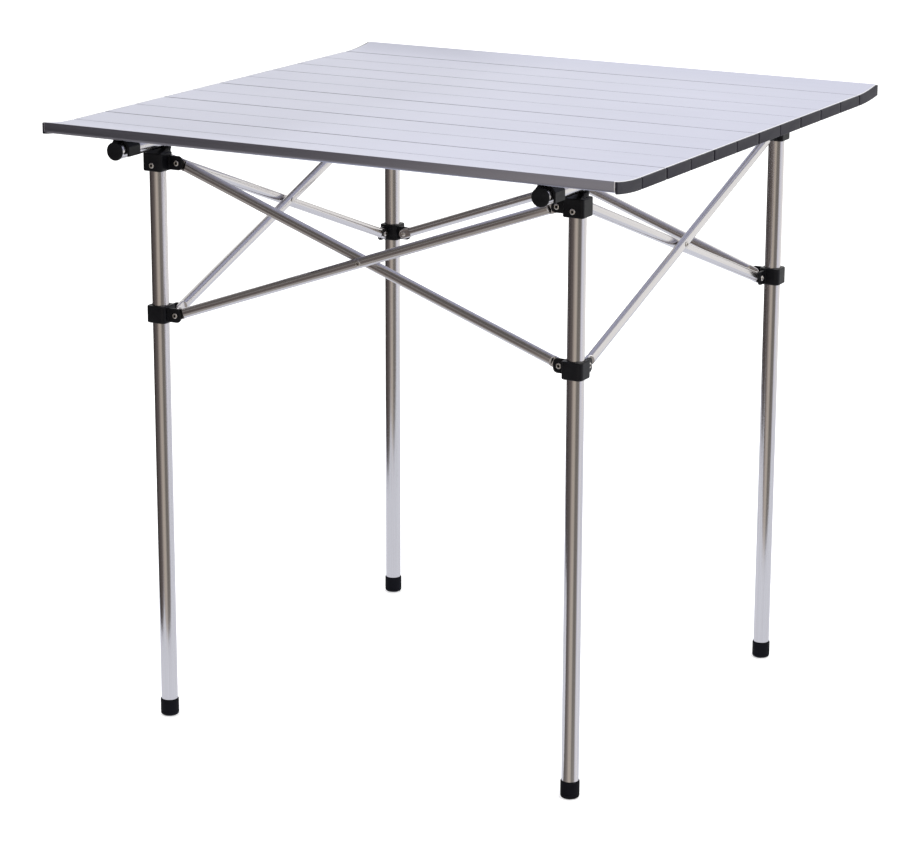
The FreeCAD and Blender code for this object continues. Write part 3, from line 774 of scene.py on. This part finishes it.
# ---- moulded blocks --------------------------------------------------------------------------
def moulded(node, voxel=MOULDING_VOXEL, passes=MOULDING_PASSES):
    """The node's shape with the softly rounded edges of a moulding."""
    rough = bpy.data.objects.new(node + "_rough", nodes[node].data.copy())
    bpy.context.scene.collection.objects.link(rough)
    remesh = rough.modifiers.new("remesh", "REMESH")
    remesh.mode = "VOXEL"
    remesh.voxel_size = voxel
    remesh.adaptivity = 0.0
    smooth = rough.modifiers.new("smooth", "SMOOTH")
    smooth.factor = SMOOTHING
    smooth.iterations = passes
    fewer = rough.modifiers.new("fewer", "DECIMATE")
    fewer.ratio = FACES_KEPT
    bpy.context.view_layer.update()
    evaluated = rough.evaluated_get(bpy.context.evaluated_depsgraph_get())
    result = bpy.data.meshes.new_from_object(evaluated)
    bpy.data.objects.remove(rough)
    piece = bpy.data.objects.new(node + "_moulding", result)
    bpy.context.scene.collection.objects.link(piece)
    result.shade_smooth()
    finish_piece(piece, node, block_plastic)


def make_mouldings():
    kinds = ("bracket_front", "bracket_rear", "slider_front", "slider_rear", "clips_")
    for node in sorted(n for n in nodes if n.startswith(kinds)):
        moulded(node)
    moulded("rail_studs", STUD_VOXEL, STUD_PASSES)


# ---- rivets ----------------------------------------------------------------------------------
def islands(node):
    """The separate solids of a node, as lists of points."""
    mesh = bmesh.new()
    mesh.from_mesh(nodes[node].data)
    bmesh.ops.remove_doubles(mesh, verts=mesh.verts, dist=WELD_DISTANCE)
    seen, found = set(), []
    for start in mesh.verts:
        if start.index in seen:
            continue
        stack, group = [start], []
        seen.add(start.index)
        while stack:
            vertex = stack.pop()
            group.append(vertex.co.copy())
            for edge in vertex.link_edges:
                other = edge.other_vert(vertex)
                if other.index not in seen:
                    seen.add(other.index)
                    stack.append(other)
        found.append(group)
    mesh.free()
    return found


def rivet_profile(length):
    """A hollow rivet with a rolled head; 0 is under the head, length is between head and tail."""
    head, bore, tail = RIVET_HEAD_HEIGHT, RIVET_BORE_RADIUS, RIVET_TAIL_RADIUS
    profile = [(head - RIVET_BORE_DEPTH, 0), (head - RIVET_BORE_DEPTH, bore)]
    profile += [(head * share, bore + out * MM) for share, out in RIVET_MOUTH]
    profile += [(head * share, RIVET_HEAD_RADIUS - inset * MM) for share, inset in RIVET_HEAD]
    profile += [(0, RIVET_SHANK_RADIUS), (-length, RIVET_SHANK_RADIUS)]
    profile += [(-length - along * MM, tail - inset * MM) for along, inset in RIVET_TAIL]
    return profile + [(-length - RIVET_TAIL_HEIGHT, 0)]


def rivet(name, node, points):
    """A rivet over the solid that the points belong to."""
    low = Vector([min(p[i] for p in points) for i in range(3)])
    high = Vector([max(p[i] for p in points) for i in range(3)])
    size, centre = high - low, (low + high) / 2
    axis = max(range(3), key=lambda i: abs(size[i] - 2 * RIVET_HEAD_RADIUS))
    others = [i for i in range(3) if i != axis]

    def radius(p):
        return math.hypot(p[others[0]] - centre[others[0]], p[others[1]] - centre[others[1]])
    on_head = [p[axis] for p in points if radius(p) > RIVET_TAIL_RADIUS + HEAD_OVER_TAIL]
    head_high = sum(on_head) / len(on_head) > centre[axis]
    outward, seat = Vector((0, 0, 0)), centre.copy()
    outward[axis] = 1 if head_high else -1
    seat[axis] = high[axis] - RIVET_HEAD_HEIGHT if head_high else low[axis] + RIVET_HEAD_HEIGHT
    profile = rivet_profile(size[axis] - RIVET_HEAD_HEIGHT - RIVET_TAIL_HEIGHT)
    piece = lathe(name, seat, outward, profile, segments=RIVET_SEGMENTS)
    finish_piece(piece, node, rivet_metal)
    # The faces inside the bore take the near-black material: painted shade in the hollow.
    piece.data.materials.append(bore_shadow)
    for face in piece.data.polygons:
        offset = face.center - seat
        along = offset.dot(outward)
        in_bore = (offset - outward * along).length < RIVET_BORE_RADIUS + BORE_MARGIN
        if in_bore and RIVET_HEAD_HEIGHT > along > -RIVET_BORE_DEPTH:
            face.material_index = 1


def make_rivets():
    for node in sorted(n for n in nodes if "rivet" in n):
        for count, points in enumerate(islands(node)):
            rivet("%s_%d" % (node, count + 1), node, points)


# ---- studio ----------------------------------------------------------------------------------
def plane(name, height, size, material):
    half = size / 2
    corners = [(-half, -half), (half, -half), (half, half), (-half, half)]
    piece = mesh_object(name, [Vector((x, y, height)) for x, y in corners], [(0, 1, 2, 3)])
    piece.data.materials.append(material)
    return piece


def floor_material():
    material, tree, shader = new_material("floor_paper")
    cloud = noise(tree, (1, 1, 1), scale=2.0, detail=3.0, roughness=0.5)
    tree.links.new(ramp(tree, cloud, [(0.2, 0.94), (0.8, 0.98)]), shader.inputs["Base Color"])
    shader.inputs["Emission Color"].default_value = WHITE
    shader.inputs["Emission Strength"].default_value = FLOOR_GLOW
    shader.inputs["Roughness"].default_value = 0.9
    shader.inputs["Specular IOR Level"].default_value = 0.1
    return material


def sheet_material():
    """Paper that gloss sees as an evenly lit cool grey."""
    material = floor_material()
    tree = material.node_tree
    shader = tree.nodes["Principled BSDF"]
    glow = tree.nodes.new("ShaderNodeEmission")
    glow.inputs["Color"].default_value = SHEET_TONE
    rays = tree.nodes.new("ShaderNodeLightPath")
    mix = tree.nodes.new("ShaderNodeMixShader")
    tree.links.new(rays.outputs["Is Glossy Ray"], mix.inputs[0])
    tree.links.new(shader.outputs[0], mix.inputs[1])
    tree.links.new(glow.outputs[0], mix.inputs[2])
    tree.links.new(mix.outputs[0], tree.nodes["Material Output"].inputs["Surface"])
    return material


def make_floor():
    """A pale floor. Only the sheet under the table shows in the metal."""
    far = plane("floor", -FLOOR_DROP, FLOOR_SIZE, floor_material())
    far.visible_glossy = False
    azimuth = math.radians(CAMERA_AZIMUTH)
    towards = Vector((math.sin(azimuth), -math.cos(azimuth), 0))
    side = Vector((math.cos(azimuth), math.sin(azimuth), 0))
    drop = Vector((0, 0, -SHEET_DROP))
    corners = [towards * reach + side * across + drop for reach, across in SHEET_OUTLINE]
    near = mesh_object("floor_sheet", corners, [tuple(range(len(corners)))])
    near.data.materials.append(sheet_material())


def round_the_table(tree, share, stops):
    """A ramp over the azimuth, from stops given in degrees."""
    return ramp(tree, share, [(degrees / 360.0 + 0.5, tone) for degrees, tone in stops])


def make_world():
    """A white studio for the eye and for matt surfaces; for gloss, darker towards the front."""
    world = bpy.data.worlds.new("studio")
    bpy.context.scene.world = world
    world.use_nodes = True
    tree = world.node_tree
    background = tree.nodes["Background"]
    direction = split_coordinates(tree, "Generated")
    forward = math_node(tree, "MULTIPLY", direction["Y"], -1.0)
    turn = math_node(tree, "ARCTAN2", direction["X"], forward)
    share = math_node(tree, "ADD", math_node(tree, "DIVIDE", turn, 2 * math.pi), 0.5)
    height = math_node(tree, "ADD", math_node(tree, "MULTIPLY", direction["Z"], 0.5), 0.5)
    ground_end, low_start = GROUND_TO_LOW
    low_end, high_start = LOW_TO_HIGH
    high_end, top_start = HIGH_TO_TOP
    above_ground = ramp(tree, height, [(ground_end, 0.0), (low_start, 1.0)])
    low_band = ramp(tree, height, [(ground_end, 0.0), (low_start, 1.0), (low_end, 1.0),
                                   (high_start, 0.0)])
    high_band = ramp(tree, height, [(low_end, 0.0), (high_start, 1.0), (high_end, 1.0),
                                    (top_start, 0.0)])
    colour = mixed_colour(tree, "MIX", above_ground, GROUND, WHITE)
    colour = mixed_colour(tree, "MIX", low_band, colour, round_the_table(tree, share, WORLD_LOW))
    colour = mixed_colour(tree, "MIX", high_band, colour, round_the_table(tree, share, WORLD_HIGH))
    rays = tree.nodes.new("ShaderNodeLightPath")
    colour = mixed_colour(tree, "MIX", rays.outputs["Is Glossy Ray"], WHITE, colour)
    tree.links.new(colour, background.inputs["Color"])
    background.inputs["Strength"].default_value = 1.0


def area_light(name, place, aim, size, power, tone):
    """A square softbox."""
    light = bpy.data.lights.new(name, "AREA")
    light.shape = "RECTANGLE"
    light.size = light.size_y = size
    light.energy = power
    light.color = tone
    lamp = bpy.data.objects.new(name, light)
    lamp.location = place
    lamp.rotation_mode = "QUATERNION"
    lamp.rotation_quaternion = (Vector(aim) - Vector(place)).to_track_quat("-Z", "Y")
    bpy.context.scene.collection.objects.link(lamp)
    return lamp


def make_lights():
    area_light("key_softbox", place=(2.2, -0.6, 2.6), aim=(0, 0, 0.5), size=1.6, power=22.0,
               tone=(1.0, 0.99, 0.97))
    top = area_light("top_softbox", place=(-0.4, 0.8, 3.0), aim=(0, 0, 0.6), size=2.4, power=14.0,
                     tone=(0.97, 0.98, 1.0))
    top.visible_glossy = False


def make_camera():
    azimuth, elevation = math.radians(CAMERA_AZIMUTH), math.radians(CAMERA_ELEVATION)
    level = math.cos(elevation)
    back = Vector((math.sin(azimuth) * level, -math.cos(azimuth) * level, math.sin(elevation)))
    data = bpy.data.cameras.new("camera")
    data.lens = CAMERA_LENS
    data.sensor_width = SENSOR_WIDTH
    camera = bpy.data.objects.new("camera", data)
    camera.location = CAMERA_AIM + back * CAMERA_DISTANCE
    camera.rotation_mode = "QUATERNION"
    roll = Matrix.Rotation(math.radians(CAMERA_ROLL), 4, "Z").to_quaternion()
    camera.rotation_quaternion = (-back).to_track_quat("-Z", "Y") @ roll
    bpy.context.scene.collection.objects.link(camera)
    bpy.context.scene.camera = camera


bpy.context.scene.view_settings.view_transform = "Standard"
make_camera()
make_world()
make_lights()
make_floor()
make_slats()
make_legs()
make_feet()
make_rails()
for brace_node in sorted(n for n in nodes if n.startswith("brace_")):
    make_brace(brace_node)
make_mouldings()
make_rivets()
